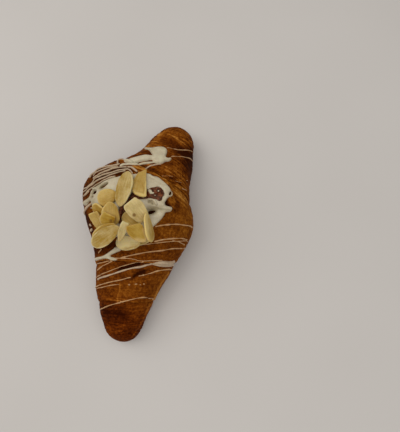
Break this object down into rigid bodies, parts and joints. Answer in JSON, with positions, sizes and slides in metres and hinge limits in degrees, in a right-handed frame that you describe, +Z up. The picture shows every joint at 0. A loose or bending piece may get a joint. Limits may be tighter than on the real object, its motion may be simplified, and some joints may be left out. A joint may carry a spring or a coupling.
{
  "type": "dulce de leche croissant",
  "caption": "Rolled croissant lying flat, topped with a pool of white icing, a spoonful of dulce de leche, icing strands and a heap of flaked almonds.",
  "frame": {"origin": "middle of the base, on the surface that the pastry lies on", "axes": "+Y along the length from one tip to the other, +X across it, +Z up"},
  "size_m": [0.0708, 0.143, 0.0598],
  "materials": {
    "crust": "baked brown crust with a soft egg-wash shine",
    "icing": "smooth set sugar icing",
    "caramel": "wet glossy caramel",
    "almond_pale": "dry satin",
    "almond_tan": "dry satin",
    "almond_gold": "lightly toasted satin"
  },
  "bodies": {
    "root": {"croissant": "crust", "icing_pool": "icing", "dulce_de_leche": "caramel", "almond_01": "almond_tan", "almond_02": "almond_tan", "almond_03": "almond_tan", "almond_04": "almond_pale", "almond_05": "almond_pale", "almond_06": "almond_tan", "almond_07": "almond_tan", "almond_08": "almond_pale", "almond_09": "almond_tan", "almond_10": "almond_gold", "almond_11": "almond_tan", "almond_12": "almond_pale", "almond_13": "almond_pale", "almond_14": "almond_pale", "almond_15": "almond_gold", "almond_16": "almond_tan"}
  },
  "joints": []
}
